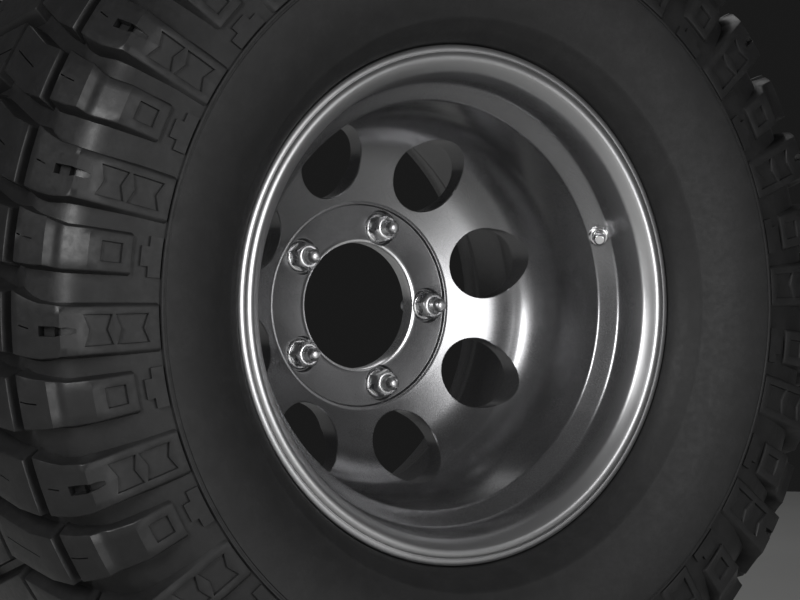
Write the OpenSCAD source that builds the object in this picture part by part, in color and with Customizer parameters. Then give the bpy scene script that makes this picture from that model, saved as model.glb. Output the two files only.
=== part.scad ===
// Deep-dish cast alloy wheel with its mud tyre, clamp-in valve and five studs with nuts.
// The wheel spins about Y and its outer face looks along -Y. The origin is the wheel's middle.
// Sections are drawn as [r, h]: r from the spin axis, h outwards from the middle plane, so Y = -h.

/* [Rim] */
// Width of the rim between the two flanges
rim_w = 254; // [225:1:285]
// Radius of the bead seats
bead_r = 190.1; // [186:0.1:194]
// Width of each bead seat
seat_w = 20; // [16:0.5:24]
// Height of the flanges over the bead seats
flange_rise = 17.4; // [15:0.1:20]
// Distance from a flange to the outermost face of its lip
lip_t = 13; // [11:0.5:16]
// Depth of the well under the bead seats
well_drop = 18.1; // [14:0.1:22]
// Thickness of the rim wall
rim_wall = 6; // [5:0.1:7]

/* [Dish] */
// Height of the pad's front face over the middle plane
pad_h = -21.5; // [-30:0.5:-10]
// Thickness of the pad
pad_t = 16; // [13:0.5:20]
// Outer radius of the recessed pad face
pad_r = 87; // [86:0.5:90]
// Depth of the pad face under the dish
pad_step = 2.2; // [1:0.1:4]
// Radius of the centre bore
bore_r = 54; // [50:0.5:56]
// Slope of the dish outside the pad, in degrees
dish_slope = 16; // [10:0.5:20]
// Radius at which the dish starts to turn up into the rim
turn_r = 120; // [112:1:128]
// Slope of the dish's hidden back, in degrees
back_slope = 32.5; // [28:0.5:36]
// Number of round windows in the dish
window_count = 8; // [5:1:9]
// Radius of a window
window_r = 30.3; // [24:0.1:32]
// Radius of the circle that the windows' centres lie on
window_pitch_r = 126.3; // [122:0.1:130]
// Angle of the first window over the +X side, in degrees
window_angle = 17.1; // [0:0.1:45]

/* [Studs] */
// Number of studs
stud_count = 5; // [4:1:6]
// Diameter of the circle that the studs lie on
stud_pcd = 139.7; // [138:0.1:142]
// Radius of a stud's rear end, which screws into the hub
stud_r = 6.35; // [6.2:0.05:6.5]
// Radius of a stud's front, which carries the nut
stud_front_r = 6; // [5.5:0.05:6.1]
// Radius of the holes that the studs pass through
stud_hole_r = 7; // [6.8:0.1:7.5]
// Radius of the recess that each washer lies in
seat_r = 15; // [14:0.1:16]
// Depth of that recess
seat_depth = 5; // [3:0.1:7]
// Length of a stud in front of its recess
stud_front = 28.5; // [26:0.5:34]
// Length of a stud behind the pad
stud_back = 18; // [12:0.5:24]
// Outer radius of a washer
washer_r = 13; // [12:0.1:13.8]
// Thickness of a washer
washer_t = 3; // [2:0.1:4]
// Width of a nut across its flats
nut_af = 20.6; // [19:0.1:21]
// Height of a nut
nut_h = 14.5; // [12:0.5:16]
// Clearance between a thread and its nut
thread_gap = 0.1; // [0.05:0.01:0.2]

/* [Valve] */
// Angle of the valve over the +X side, in degrees
valve_angle = 20; // [0:0.5:60]
// Radius of the valve hole in the rim
valve_hole_r = 5.7; // [5.4:0.1:6]
// Radius of the valve's shank
shank_r = 5.2; // [4.6:0.1:5.3]
// Radius of the valve's stem under the cap
stem_r = 3.9; // [3.6:0.05:4.1]
// Length of the valve's stem in front of its nut
stem_len = 12; // [9:0.5:16]
// Radius of the valve's foot, its seal and the flats they lie on
foot_r = 8.2; // [7.5:0.1:8.5]
// Thickness of the valve's foot
foot_t = 3; // [2:0.1:4]
// Thickness of the rubber seal
seal_t = 2.2; // [1.5:0.1:3]
// Width of the valve's nut across its flats
valve_nut_af = 15; // [13.5:0.1:16]
// Height of the valve's nut
valve_nut_h = 5; // [3.5:0.1:7]
// Thickness of the valve's washer
valve_washer_t = 1.2; // [0.8:0.1:2]
// Radius of the cap
cap_r = 5.2; // [5:0.1:6]
// Clearance between the cap and the stem
cap_gap = 0.3; // [0.2:0.05:0.4]
// Thickness of the cap's end
cap_end = 2; // [1.5:0.1:3]
// Radius of the valve core
core_r = 2.3; // [2:0.05:2.5]
// Length of the valve core
core_len = 16; // [12:0.5:18]
// Radius of the pin in the core
pin_r = 0.75; // [0.6:0.05:0.9]
// Travel of the pin
pin_travel = 1.2; // [0.8:0.1:1.6]

/* [Tyre] */
// Outer radius of the tyre at the middle of its tread
tyre_r = 400; // [392:1:415]
// Width of the tyre over its sidewalls
tyre_w = 351; // [335:1:365]
// Radius of the line at which the shoulder lugs end
ring_r = 290; // [280:1:300]
// Depth of the tread
tread_depth = 16; // [12:0.5:20]
// Number of pairs of shoulder lugs
pitch_count = 20; // [16:1:22]
// Angle of the first short lug over the +X side, in degrees
lug_angle = 174; // [0:0.5:180]
// Width of a short lug, as an angle
short_lug = 5.2; // [4:0.1:6]
// Width of a long lug, as an angle
long_lug = 5.7; // [4:0.1:6]
// Width of the channels between the outer tread blocks
row_gap = 20; // [14:0.5:26]
// Width of the channels between the middle tread blocks
rib_gap = 14; // [8:0.5:20]
// Slant of the channels, as sideways shift for each millimetre across
row_slant = 0.5; // [0:0.05:0.7]
// Clearance between the tyre and the rim
bead_gap = 0.3; // [0.2:0.05:0.5]

/* [Hidden] */
$fn = 96;

// Rim section
flange_h = rim_w / 2;
lip_h = flange_h + lip_t;
lip_r = bead_r + flange_rise;
well_r = bead_r - well_drop;
well_in_r = well_r - rim_wall;
ramp_angle = 37.4;
seat_in_r = bead_r - 9.7;
seat_in_h = flange_h - seat_w - 0.5;
ramp_in_h = seat_in_h - (seat_in_r - well_in_r) * tan(ramp_angle);
ramp_out_r = bead_r - 1.6;
ramp_out_h = seat_in_h - 2;
barrel_draft = 1.2;

// Dish section
dish_h = pad_h + pad_step;
turn_h = dish_h + (turn_r - pad_r) * tan(dish_slope);
turn_end_r = well_in_r - 1.1;
turn_rad = (turn_end_r - turn_r) / (cos(barrel_draft) - sin(dish_slope));
turn_c = [turn_r - turn_rad * sin(dish_slope), turn_h + turn_rad * cos(dish_slope)];
back_h = pad_h - pad_t;
back_r = 108;
pocket_rad = 9;
pocket_r = well_in_r + 0.5;
pocket_c_r = pocket_r - pocket_rad;
pocket_start_r = pocket_c_r - pocket_rad * sin(back_slope);
pocket_c_h = back_h + (pocket_start_r - back_r) * tan(back_slope) - pocket_rad * cos(back_slope);

// Studs
stud_circle_r = stud_pcd / 2;
seat_h = pad_h - seat_depth;
nut_base_h = seat_h + washer_t;
hex_corner_r = nut_af / 2 / cos(30);

// Valve: its axis stands square on the ramp between the well and the bead seat
valve_r = (well_in_r + seat_in_r) / 2;
valve_h = (ramp_in_h + seat_in_h) / 2;
ramp_wall = 6.4;
seat_flat = 0.9;
valve_base = -seat_flat;
foot_top = -ramp_wall + seat_flat - seal_t;
valve_nut_base = valve_base + valve_washer_t;
stem_base = valve_nut_base + valve_nut_h;
stem_top = stem_base + stem_len;
core_top = stem_top - 0.6;
core_base = core_top - core_len;
cap_seal_t = 1;
cap_base = stem_base + 0.5;
cap_inner_top = stem_top + cap_seal_t;

// Tyre section
side_h = tyre_w / 2;
bead_tyre_r = bead_r + bead_gap;
bead_tyre_h = flange_h - bead_gap;
crown_floor_r = tyre_r - tread_depth;
liner_r = crown_floor_r - 15;
lug_lean = 0.205;
short_end_r = ring_r + 23.5;
short_corner_r = tyre_r - 21;
long_corner_r = tyre_r - 35;
groove_h = side_h - 57;
groove_r = tyre_r - 13;
row_h = groove_h - 6;
rib_h = 44;
lug_root = 3;
pitch = 360 / pitch_count;

function arc(c, r, a0, a1, n) = [for (i = [0 : n]) let (a = a0 + (a1 - a0) * i / n) c + r * [cos(a), sin(a)]];
function flip(points) = [for (i = [len(points) - 1 : -1 : 0]) [points[i][0], -points[i][1]]];
function lean_h(r) = side_h - lug_lean * (r - ring_r);

// Solids of revolution are drawn about Z and then laid over, so that they spin about Y
module laid_over() {
    rotate([90, 0, 0]) children();
}

module turned(points) {
    laid_over() rotate_extrude() polygon(points);
}

module around(count, first = 0) {
    for (i = [0 : count - 1]) rotate([0, 0, first + i * 360 / count]) children();
}

// Front of the casting, from the pad out over the dish, the well and the bead seat to the lip
front_face = concat(
    [[bore_r, pad_h], [pad_r - 1, pad_h], [pad_r, dish_h]],
    arc(turn_c, turn_rad, dish_slope - 90, -barrel_draft, 12),
    [[well_in_r, ramp_in_h], [seat_in_r, seat_in_h]],
    [[lip_r - 21.6, lip_h - 7.8]],
    arc([lip_r - 17.2, lip_h - 5.2], 1.9, 150, 60, 4),
    arc([lip_r - 8.4, lip_h - 1.9], 1.9, 120, 20, 4),
    [[lip_r - 5, lip_h - 2.2]],
    arc([lip_r - 2.2, lip_h - 3.4], 2.2, 120, 0, 5)
);
// Curve of the flange that the tyre's bead leans on, which the tyre follows at its own clearance
flange_curve = [[lip_r - 8.6, flange_h], [lip_r - 6.5, lip_h - 9.6], [lip_r - 2.5, lip_h - 7.6]];
// The side that carries the tyre, from the bead seat to the front lip
bead_side = concat(
    [[ramp_out_r, ramp_out_h], [bead_r, seat_in_h + 1], [bead_r, flange_h]],
    flange_curve, [[lip_r, lip_h - 5.5]]
);
front_seat = [for (i = [len(bead_side) - 1 : -1 : 0]) bead_side[i]];
well = [
    [well_r, ramp_out_h - (ramp_out_r - well_r) * tan(ramp_angle)],
    [well_r, -20], [well_r + 6, -40], [well_r + 9, -flange_h + seat_w + 11]
];
rear_face = concat(
    flip(arc([lip_r - 2.2, lip_h - 3.4], 2.2, 120, 0, 5)),
    [[lip_r - 12, -lip_h + 1.6], [lip_r - 17.5, -lip_h + 3.5], [lip_r - 21.5, -lip_h + 9],
     [seat_in_r + 1, -seat_in_h], [well_in_r + 9, -flange_h + seat_w + 15], [well_in_r + 6, -42]],
    arc([pocket_c_r, pocket_c_h], pocket_rad, 0, 90 + back_slope, 6),
    [[back_r, back_h], [bore_r, back_h]]
);

// One casting: rim, dish, pad and bore, with the windows, stud holes and valve hole cut through
module wheel_casting() {
    color([0.25, 0.25, 0.27])
    difference() {
        turned(concat(front_face, front_seat, well, flip(front_seat), rear_face));
        laid_over() {
            around(window_count, window_angle)
                translate([window_pitch_r, 0, back_h - 1]) cylinder(r = window_r, h = lip_h - back_h);
            around(stud_count) translate([stud_circle_r, 0, 0]) {
                translate([0, 0, back_h - 1]) cylinder(r = stud_hole_r, h = pad_t + 2);
                translate([0, 0, seat_h]) cylinder(r = seat_r, h = seat_depth + 10);
            }
        }
        at_valve() {
            translate([0, 0, -ramp_wall - 6]) cylinder(r = valve_hole_r, h = ramp_wall + 12);
            translate([0, 0, valve_base]) cylinder(r = foot_r + 1, h = 8);
            translate([0, 0, -ramp_wall + seat_flat - 8]) cylinder(r = foot_r + 1, h = 8);
        }
    }
}

// Stands its children on the middle of the ramp, with +Z along the valve's axis
module at_valve() {
    laid_over() rotate([0, 0, valve_angle]) translate([valve_r, 0, valve_h])
        rotate([0, -ramp_angle, 0]) children();
}

// Turns a closed section through the angle width, centred on the angle middle
module sector(points, width, middle = 0) {
    rotate([0, 0, middle - width / 2]) rotate_extrude(angle = width) polygon(points);
}

// Half of the tyre's outside, from the flange over the ring line to the middle of the tread band
carcass_half = concat(
    [[bead_tyre_r, seat_in_h + 1], [bead_tyre_r, bead_tyre_h]],
    [for (p = flange_curve) p + [bead_gap, -bead_gap]],
    [[lip_r + 0.6, lip_h - 6.6]],
    [for (i = [1 : 7]) let (a = i * 90 / 7)
        [ring_r - (ring_r - lip_r - 0.8) * cos(a), lip_h - 6.6 + (side_h - lip_h + 6.6) * sin(a)]],
    [[ring_r + 1.5, side_h - 3], [ring_r + 30, side_h - 10.5], [ring_r + 52, side_h - 23],
     [crown_floor_r - 20, side_h - 42], [crown_floor_r - 12, groove_h],
     [crown_floor_r - 11, row_h], [tyre_r - 8.5, row_h], [tyre_r - 3.5, rib_h + 28],
     [tyre_r - 1.8, rib_h + 8], [crown_floor_r + 1, rib_h + 7], [crown_floor_r + 1, rib_h + 1],
     [tyre_r - 1.4, rib_h], [tyre_r, 0]]
);
// Half of the hollow inside, from the middle of the tread to the bead's toe
liner_half = [
    [liner_r, 0], [liner_r - 3, side_h - 115], [liner_r - 12, side_h - 62], [liner_r - 32, side_h - 34],
    [ring_r + 20, side_h - 22], [ring_r - 10, side_h - 18], [ring_r - 35, side_h - 27],
    [lip_r + 12, flange_h + 2], [bead_r + 14, seat_in_h + 4], [bead_tyre_r + 2, seat_in_h - 3]
];

// Slanted channel across a row of the tread, open outwards, with its floor at the radius floor_r.
// Its middle line runs from the sideways place y0 at the height h0 to y1 at h1.
module channel(h0, y0, h1, y1, width, floor_r) {
    w = width / 2;
    rotate([0, 90, 0])
        translate([0, 0, floor_r]) linear_extrude(40)
            polygon([[-h0, y0 - w], [-h0, y0 + w], [-h1, y1 + w], [-h1, y1 - w]]);
}

// Carcass with its tread band, which the channels cut into a middle row and two outer rows
module carcass() {
    // The lugs of both sides meet in line at the middle when the middle channels turn back by this
    crown_shift = lug_angle % (pitch / 2);
    sweep = row_slant * (row_h - rib_h);
    middle_sweep = row_slant * 0.55 * (rib_h + 4);
    difference() {
        rotate_extrude() polygon(concat(carcass_half, flip(carcass_half), flip(liner_half), liner_half));
        for (side = [0, 1]) rotate([180 * side, 0, 0])
            around(pitch_count * 2, lug_angle + pitch / 4)
                channel(rib_h + 4, -sweep, row_h + 1, 0, row_gap, crown_floor_r - 6);
        around(pitch_count * 2, lug_angle - crown_shift + pitch / 4)
            channel(-rib_h - 4, middle_sweep, rib_h + 4, -middle_sweep, rib_gap, crown_floor_r + 1);
    }
}

// Short shoulder lug: a scoop under its corner, a square recess on its side and a raised tee below it
module short_lug() {
    root_h = lean_h(short_end_r) - 14;
    difference() {
        sector([
            [short_end_r, root_h], [short_end_r, lean_h(short_end_r) - 2], [short_end_r + 3, lean_h(short_end_r)],
            [ring_r + 55, lean_h(ring_r + 55)], [ring_r + 74, lean_h(ring_r + 74) - 3],
            [ring_r + 77, lean_h(ring_r + 77) - 8], [short_corner_r - 6, lean_h(short_corner_r) - 7],
            [short_corner_r, lean_h(short_corner_r) - 3],
            [groove_r, groove_h + 5], [crown_floor_r - lug_root - 10, groove_h + 5],
            [crown_floor_r - 24, side_h - 48], [ring_r + 50, side_h - 30]
        ], short_lug);
        sector([
            [ring_r + 31, lean_h(ring_r + 31) - 3], [ring_r + 45.5, lean_h(ring_r + 45.5) - 3],
            [ring_r + 45.5, side_h], [ring_r + 31, side_h]
        ], short_lug * 0.47);
    }
    sector([
        [ring_r + 3, lean_h(ring_r + 3) - 8], [ring_r + 3, lean_h(ring_r + 3)],
        [ring_r + 12, lean_h(ring_r + 12) - 0.5], [ring_r + 13, lean_h(ring_r + 13) - 8]
    ], short_lug);
    sector([
        [ring_r + 9, lean_h(ring_r + 9) - 8], [ring_r + 9, lean_h(ring_r + 9) - 0.5],
        [ring_r + 17, lean_h(ring_r + 17) - 0.5], [ring_r + 18, lean_h(ring_r + 18) - 9]
    ], short_lug * 0.42);
}

// Long shoulder lug: runs down to the ring line, with two recesses on its side and a hole at its corner
module long_lug() {
    difference() {
        sector([
            [ring_r + 2, lean_h(ring_r) - 8], [ring_r + 2, lean_h(ring_r + 2)],
            [ring_r + 60, lean_h(ring_r + 60)], [long_corner_r, lean_h(long_corner_r) - 2],
            [groove_r, groove_h + 5], [crown_floor_r - lug_root - 10, groove_h + 5],
            [crown_floor_r - 24, side_h - 48], [ring_r + 50, side_h - 30], [ring_r + 25, side_h - 16]
        ], long_lug);
        sector([
            [ring_r + 10, lean_h(ring_r + 10) - 2], [ring_r + 32, lean_h(ring_r + 32) - 2],
            [ring_r + 32, side_h], [ring_r + 10, side_h]
        ], long_lug * 0.62);
        sector([
            [ring_r + 36, lean_h(ring_r + 36) - 2.5], [ring_r + 55, lean_h(ring_r + 55) - 2.5],
            [ring_r + 55, side_h], [ring_r + 36, side_h]
        ], long_lug * 0.4);
        translate([ring_r + 82, 0, 0]) rotate([0, 60, 0]) cylinder(r = 3.2, h = 200);
    }
}

module half_tread() {
    around(pitch_count, lug_angle) short_lug();
    around(pitch_count, lug_angle + pitch / 2) long_lug();
}

module tyre() {
    color([0.08, 0.08, 0.08])
    laid_over() {
        carcass();
        half_tread();
        rotate([180, 0, 0]) half_tread();
    }
}

// Puts its children on stud i, with +Z outwards along the stud
module at_stud(i) {
    laid_over() rotate([0, 0, i * 360 / stud_count]) translate([stud_circle_r, 0, 0]) children();
}

// Headless stud with a bullet nose, stepped down before it enters the pad from the hub's side
module stud(i) {
    tip_h = seat_h + stud_front;
    step_h = back_h - 1;
    color("gainsboro")
    at_stud(i) rotate_extrude() polygon(concat(
        [[0, back_h - stud_back], [stud_r - 1, back_h - stud_back], [stud_r, back_h - stud_back + 1],
         [stud_r, step_h], [stud_front_r, step_h], [stud_front_r, tip_h - 5]],
        arc([stud_front_r - 5, tip_h - 5], 5, 0, 80, 5),
        [[0, tip_h]]
    ));
}

module washer(i) {
    color("silver")
    at_stud(i) translate([0, 0, seat_h]) difference() {
        rotate_extrude() polygon([[0, 0], [washer_r, 0], [washer_r, washer_t - 1], [washer_r - 1.6, washer_t], [0, washer_t]]);
        translate([0, 0, -1]) cylinder(r = stud_front_r + 0.5, h = washer_t + 2);
    }
}

// Hexagon nut with turned chamfers, open at its front end
module nut(i) {
    color("gainsboro")
    at_stud(i) translate([0, 0, nut_base_h]) difference() {
        intersection() {
            rotate([0, 0, 12 * i + 8]) cylinder(r = hex_corner_r, h = nut_h, $fn = 6);
            rotate_extrude() polygon([
                [0, 0], [nut_af / 2 - 0.3, 0], [hex_corner_r + 0.1, 1.3], [hex_corner_r + 0.1, nut_h - 2.6],
                [nut_af / 2 - 1.4, nut_h], [0, nut_h]
            ]);
        }
        translate([0, 0, -1]) cylinder(r = stud_front_r + thread_gap, h = nut_h + 2);
        translate([0, 0, nut_h - 1]) cylinder(r1 = stud_front_r + thread_gap, r2 = stud_front_r + thread_gap + 1, h = 1.01);
    }
}

// Valve body: foot inside the tyre, shank through the rim, and the stem that the cap screws on
module valve_body() {
    color("silver")
    at_valve() difference() {
        rotate_extrude() polygon([
            [0, foot_top - foot_t], [foot_r - 1, foot_top - foot_t], [foot_r, foot_top - foot_t + 1], [foot_r, foot_top],
            [shank_r, foot_top], [shank_r, stem_base + 0.3], [stem_r, stem_base + 0.3],
            [stem_r, stem_top - 0.6], [stem_r - 0.6, stem_top], [0, stem_top]
        ]);
        translate([0, 0, foot_top - foot_t - 1]) cylinder(r = core_r - 0.6, h = stem_top - foot_top + foot_t + 2);
        translate([0, 0, core_base - 0.2]) cylinder(r = core_r + 0.05, h = core_len + 2);
    }
}

module ring(outer_r, inner_r, base, height) {
    translate([0, 0, base]) difference() {
        cylinder(r = outer_r, h = height);
        translate([0, 0, -1]) cylinder(r = inner_r, h = height + 2);
    }
}

module valve_seal() {
    color([0.1, 0.1, 0.1])
    at_valve() ring(foot_r, shank_r + 0.1, foot_top, seal_t);
}

module valve_washer() {
    color("silver")
    at_valve() ring(foot_r, shank_r + 0.2, valve_base, valve_washer_t);
}

module valve_nut() {
    color("silver")
    at_valve() translate([0, 0, valve_nut_base]) difference() {
        intersection() {
            cylinder(r = valve_nut_af / 2 / cos(30), h = valve_nut_h, $fn = 6);
            rotate_extrude() polygon([
                [0, 0], [valve_nut_af / 2 + 1.3, 0], [valve_nut_af / 2 + 1.3, valve_nut_h - 1.5],
                [valve_nut_af / 2 - 0.6, valve_nut_h], [0, valve_nut_h]
            ]);
        }
        translate([0, 0, -1]) cylinder(r = shank_r + thread_gap, h = valve_nut_h + 2);
    }
}

// Screw-in core: a sleeve whose crossbar is left out, with the pin sliding in it
module valve_core() {
    color([0.7, 0.6, 0.35])
    at_valve() ring(core_r, pin_r + 0.1, core_base, core_len - 1);
}

module valve_core_pin() {
    color([0.75, 0.65, 0.4])
    at_valve() {
        translate([0, 0, core_base - 2.5]) cylinder(r = pin_r, h = core_len + 2.5);
        translate([0, 0, core_base - 2.5]) cylinder(r = core_r - 0.9, h = 2.2);
    }
}

// Cap: a blind cup with a knurled skirt, drawn plain here
module valve_cap() {
    color("gainsboro")
    at_valve() difference() {
        rotate_extrude() polygon([
            [0, cap_base], [cap_r - 0.5, cap_base], [cap_r, cap_base + 0.5], [cap_r, cap_inner_top - 2],
            [cap_r - 0.6, cap_inner_top - 1.5], [cap_r - 0.6, cap_inner_top + cap_end - 1],
            [cap_r - 1.6, cap_inner_top + cap_end], [0, cap_inner_top + cap_end]
        ]);
        translate([0, 0, cap_base - 1]) cylinder(r = stem_r + cap_gap, h = cap_inner_top - cap_base + 1);
    }
}

module valve_cap_seal() {
    color([0.1, 0.1, 0.1])
    at_valve() ring(stem_r + cap_gap - 0.1, pin_r + 1.2, stem_top + 0.1, cap_seal_t - 0.1);
}

wheel_casting();
tyre();
stud(0);  // stud_1
stud(1);  // stud_2
stud(2);  // stud_3
stud(3);  // stud_4
stud(4);  // stud_5
washer(0);  // washer_1
washer(1);  // washer_2
washer(2);  // washer_3
washer(3);  // washer_4
washer(4);  // washer_5
nut(0);  // nut_1
nut(1);  // nut_2
nut(2);  // nut_3
nut(3);  // nut_4
nut(4);  // nut_5
valve_body();
valve_seal();
valve_washer();
valve_nut();
valve_core();
valve_core_pin();
valve_cap();
valve_cap_seal();
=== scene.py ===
"""Deep-dish alloy wheel with its mud tyre: casting, tyre, studs with nuts, and valve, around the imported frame.

Every section is drawn as (r, h) in millimetres: r is the distance from the spin axis, and h is
measured outwards from the wheel's middle plane, so that Y = -h. Angles are in degrees. The
settings, the widths of bevels and the stage are in metres.
"""

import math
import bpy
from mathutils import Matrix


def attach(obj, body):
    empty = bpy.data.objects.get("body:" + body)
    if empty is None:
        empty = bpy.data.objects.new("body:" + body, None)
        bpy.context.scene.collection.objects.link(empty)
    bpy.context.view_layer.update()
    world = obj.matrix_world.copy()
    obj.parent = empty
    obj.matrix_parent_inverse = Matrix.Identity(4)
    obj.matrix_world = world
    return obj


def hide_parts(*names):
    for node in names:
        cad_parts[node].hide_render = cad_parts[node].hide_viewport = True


bl_info = {
    "name": "Deep-dish alloy wheel",
    "version": (1, 0, 0),
    "blender": (4, 5, 0),
    "location": "3D View > Sidebar > Wheel",
    "description": "Builds a deep-dish alloy wheel with a mud tyre, studs, open nuts and a valve",
    "category": "Add Mesh",
}

import bmesh
import bpy
from bpy.props import FloatProperty, FloatVectorProperty, IntProperty, PointerProperty
from bpy.types import Operator, Panel, PropertyGroup
from mathutils import Matrix, Vector

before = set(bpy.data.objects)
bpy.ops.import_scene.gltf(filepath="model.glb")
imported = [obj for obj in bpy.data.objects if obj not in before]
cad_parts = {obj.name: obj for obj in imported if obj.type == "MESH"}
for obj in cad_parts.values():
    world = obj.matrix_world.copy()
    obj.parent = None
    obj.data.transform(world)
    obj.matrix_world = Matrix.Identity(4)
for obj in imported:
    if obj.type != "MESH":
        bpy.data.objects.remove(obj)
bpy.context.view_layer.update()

MM = 0.001
WHEEL = "wheel"

# Rim and dish
BEAD_R = 190.1
LIP_R = 207.5
LIP_H = 140.0
FLANGE_H = 127.0
PAD_H = -21.5
DISH_H = -19.3
BACK_H = -37.5
PAD_R = 87.0
BORE_R = 54.0
WELL_R = 172.0
WELL_IN_R = 166.0
DISH_SLOPE = 16.0
TURN_R = 120.0
DRAFT = 1.2
HOLLOW_R = (146.0, 164.5)
HOLLOW_DEPTH = 0.45
RAMP_END = (180.4, 106.5)
SEAT_END = (184.6, 126.2)
BEAD_START = (BEAD_R - 1.6, 104.5)
BACK_R = 108.0
BACK_SLOPE = 32.5
POCKET_R = 157.5
POCKET_BEND = 9.0

# Windows. The chamfer of their edges fades out where the dish rises by more than EDGE_STEEP.
WINDOWS = 8
WINDOW_R = 30.3
WINDOW_PITCH_R = 126.3
WINDOW_ANGLE = 17.1
WINDOW_SIDES = 96
EDGE_STEEP = 0.5
EDGE_FADE = 0.25
EDGE_OVERLAP = 0.4

# Studs, with their washers and nuts
STUDS = 5
STUD_CIRCLE_R = 69.85
STUD_R = 6.35
STUD_FRONT_R = 6.0
SEAT_H = -26.5
NUT_BASE_H = -23.5
NUT_H = 14.5
NUT_AF = 20.6
NUT_TURN = 20.0
NUT_TURN_STEP = 12.0
WASHER_R = 13.0

# Valve: along its own axis, its zero is the surface of the ramp in the rim
VALVE_ANGLE = 20.0
RAMP_ANGLE = 37.4
VALVE_R = 173.2
VALVE_H = 101.0
VALVE_HOLE_R = 5.7
SPOT_FACE_R = 9.2
FOOT_TOP_H = -7.7
SEAL_TOP_H = -5.5
RING_FOOT_H = -0.9

# Tyre
PITCHES = 20
SHORT_LUG_ANGLE = 174.0
RING_R = 290.0
BULGE_H = 133.4
BULGE_DEPTH = 81.7
BULGE_WIDTH = 42.1

# Edges sharper than this, in degrees, are bevelled or stay sharp
SHARP_ANGLE = 28.0

# Stage: the floor just under the tread, and the camera at the photograph's view
FLOOR_Z = -0.4004
FLOOR_R = 3.2
CAMERA_PLACE = (-1.0522805, -1.653733, -0.0031658)
CAMERA_TILT = 90.2244
CAMERA_TURN = -33.14
LENS_MM = 104.13


# Drawing and turning

def arc(centre, radius, start, end, steps):
    """Points on a circle round centre, from the angle start to the angle end, in degrees."""
    turns = [math.radians(start + (end - start) * i / steps) for i in range(steps + 1)]
    return [(centre[0] + radius * math.cos(a), centre[1] + radius * math.sin(a)) for a in turns]


def flipped(points):
    """The same section on the other side of the middle plane, drawn the other way round."""
    return [(r, -h) for r, h in reversed(points)]


def eased(points, cut, steps=3):
    """The open line through points, with each corner rounded from cut before it to cut after it."""
    line = [points[0]]
    for before, corner, after in zip(points, points[1:], points[2:]):
        a, b, c = Vector(before), Vector(corner), Vector(after)
        start = b + (a - b).normalized() * min(cut, (a - b).length / 2.1)
        end = b + (c - b).normalized() * min(cut, (c - b).length / 2.1)
        for i in range(steps + 1):
            t = i / steps
            line.append(tuple(start.lerp(b, t).lerp(b.lerp(end, t), t)))
    line.append(points[-1])
    return line


def dense(points, step):
    """The open line through points, with further points no more than about step apart."""
    line = []
    for a, b in zip(points, points[1:]):
        parts = max(1, round(math.dist(a, b) / step))
        line += [(a[0] + (b[0] - a[0]) * i / parts, a[1] + (b[1] - a[1]) * i / parts) for i in range(parts)]
    return line + [points[-1]]


def threaded(low, high, crest, root, pitch):
    """The wavy outline of a thread from the height low to the height high."""
    line = [(crest, low)]
    h = low
    while h + pitch <= high:
        line += [(root, h + pitch * 0.38), (root, h + pitch * 0.62), (crest, h + pitch * 0.9), (crest, h + pitch)]
        h += pitch
    return line


def flat_ring(start, inner, outer, low, high, ease):
    """The section of a flat ring with rounded edges, drawn from the radius start on its underside."""
    return eased([(start, low), (outer, low), (outer, high), (inner, high), (inner, low), (start, low)], ease)[:-1]


def start_clean():
    """Leaves edit mode and deselects everything, as the frame comes selected."""
    if bpy.context.object and bpy.context.object.mode != "OBJECT":
        bpy.ops.object.mode_set(mode="OBJECT")
    bpy.ops.object.select_all(action="DESELECT")


def named(name):
    """The object that was just added, with this name."""
    obj = bpy.context.object
    obj.name = obj.data.name = name
    return obj


def pick(obj):
    """Makes obj the only selected object."""
    start_clean()
    obj.select_set(True)
    bpy.context.view_layer.objects.active = obj


def select_in_edit(obj, faces=None, edges=None, verts=None):
    """Selects in edit mode the faces, edges or vertices for which the given test is true."""
    bm = bmesh.from_edit_mesh(obj.data)
    bpy.ops.mesh.select_mode(type="FACE" if faces else "EDGE" if edges else "VERT")
    bpy.ops.mesh.select_all(action="DESELECT")
    kind, test = (bm.faces, faces) if faces else (bm.edges, edges) if edges else (bm.verts, verts)
    for element in kind:
        if test(element):
            element.select_set(True)
    bmesh.update_edit_mesh(obj.data)


def weld(threshold):
    """In edit mode, merges the vertices that lie closer together than the threshold."""
    bpy.ops.mesh.select_all(action="SELECT")
    bpy.ops.mesh.remove_doubles(threshold=threshold)


def face_outwards():
    """In edit mode, turns every face outwards."""
    bpy.ops.mesh.select_all(action="SELECT")
    bpy.ops.mesh.normals_make_consistent(inside=False)


def drawn(name, points, place=(0.0, 0.0), closed=True):
    """Draws a section as edges by extruding one vertex along points, about an axis at place = (x, z)."""
    start_clean()
    bpy.ops.mesh.primitive_plane_add(size=MM, enter_editmode=True)
    obj = named(name)
    bpy.ops.mesh.select_mode(type="VERT")
    bpy.ops.mesh.merge(type="CENTER")
    corners = [Vector((place[0] + r * MM, -h * MM, place[1])) for r, h in points]
    bpy.ops.transform.translate(value=corners[0])
    for a, b in zip(corners, corners[1:] + (corners[:1] if closed else [])):
        bpy.ops.mesh.extrude_region_move(TRANSFORM_OT_translate={"value": b - a})
    weld(1e-6)
    return obj


def turned(name, points, steps, place=(0.0, 0.0), closed=True):
    """A solid of revolution: the drawn section spun all the way round its axis."""
    obj = drawn(name, points, place, closed)
    bpy.ops.mesh.spin(steps=steps, angle=2 * math.pi, center=(place[0], 0, place[1]), axis=(0, 1, 0))
    weld(2e-6)
    bpy.ops.mesh.delete_loose()
    face_outwards()
    bpy.ops.object.mode_set(mode="OBJECT")
    return obj


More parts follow.
